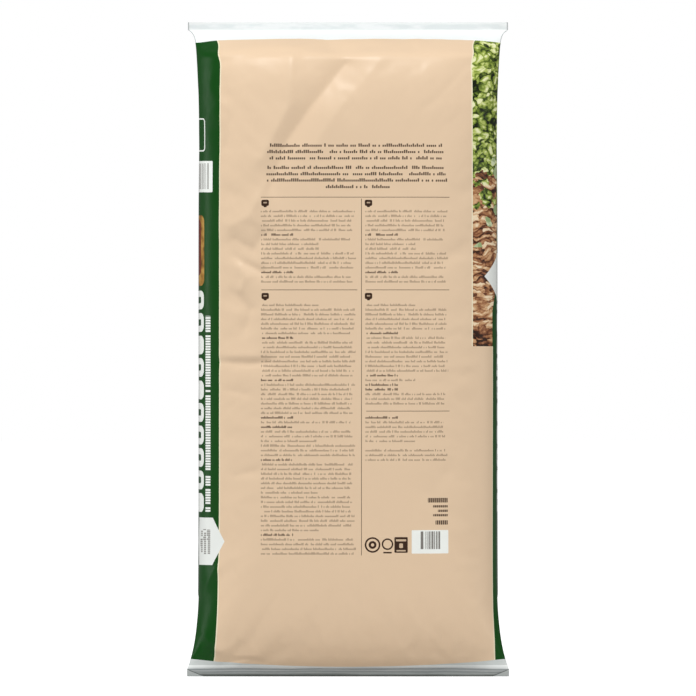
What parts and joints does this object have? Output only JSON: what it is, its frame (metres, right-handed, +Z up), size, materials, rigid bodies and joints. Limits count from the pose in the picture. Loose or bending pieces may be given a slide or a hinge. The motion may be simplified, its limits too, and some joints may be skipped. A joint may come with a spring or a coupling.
{
  "type": "bag of bark mulch",
  "caption": "Filled, sealed garden bag of bark mulch: gusseted printed film, welded across both ends, standing upright.",
  "frame": {"origin": "middle of the underside, on the floor under the middle of the bag's box", "axes": "+Z up towards the top weld, +X across the width to the right seen from the back print, +Y through the depth, with the back print facing -Y"},
  "size_m": [0.42, 0.2097, 0.856],
  "materials": {
    "printed_film": "glossy printed polyethylene film: tan back panel, deep green sides, white ends"
  },
  "bodies": {
    "root": {"mulch_bag": "printed_film"}
  },
  "joints": []
}
